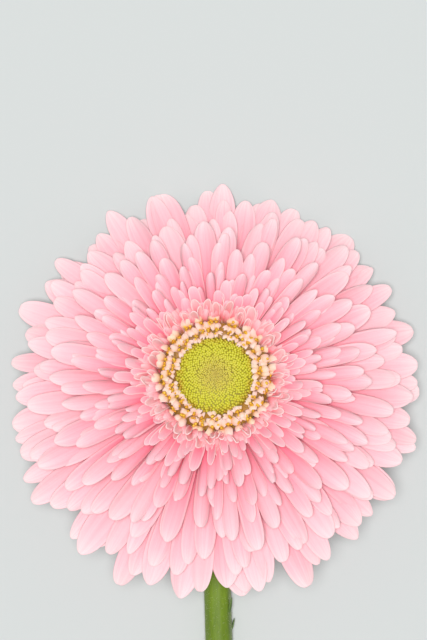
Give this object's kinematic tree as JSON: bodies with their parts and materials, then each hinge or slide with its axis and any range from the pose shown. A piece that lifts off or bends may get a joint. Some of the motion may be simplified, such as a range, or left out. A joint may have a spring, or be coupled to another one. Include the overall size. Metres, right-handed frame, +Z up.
{
  "type": "gerbera flower",
  "caption": "Cut double gerbera lying on its stem, with layered pink petals, a ring of cream florets and a green bud disc.",
  "frame": {"origin": "on the surface the flower lies on, under the middle of its bounding box", "axes": "+Z up out of the open bloom, +Y along the stem towards the bloom, +X to the right of the bloom seen from above with the stem towards the viewer"},
  "size_m": [0.1121, 0.3334, 0.0526],
  "materials": {
    "outer_petal": "matt, palest pink",
    "middle_petal": "matt, clear pink",
    "inner_petal": "matt, deeper pink",
    "cream_floret": "matt cream",
    "anther": "dusty gold",
    "bud": "waxy lime green",
    "bract": "downy green",
    "stem": "finely haired green"
  },
  "bodies": {
    "root": {"outer_rays": "outer_petal", "middle_rays": "middle_petal", "inner_rays": "inner_petal", "outer_lips": "cream_floret", "anthers": "anther", "inner_lips": "cream_floret", "disc": "bud", "involucre": "bract", "stem": "stem"}
  },
  "joints": []
}
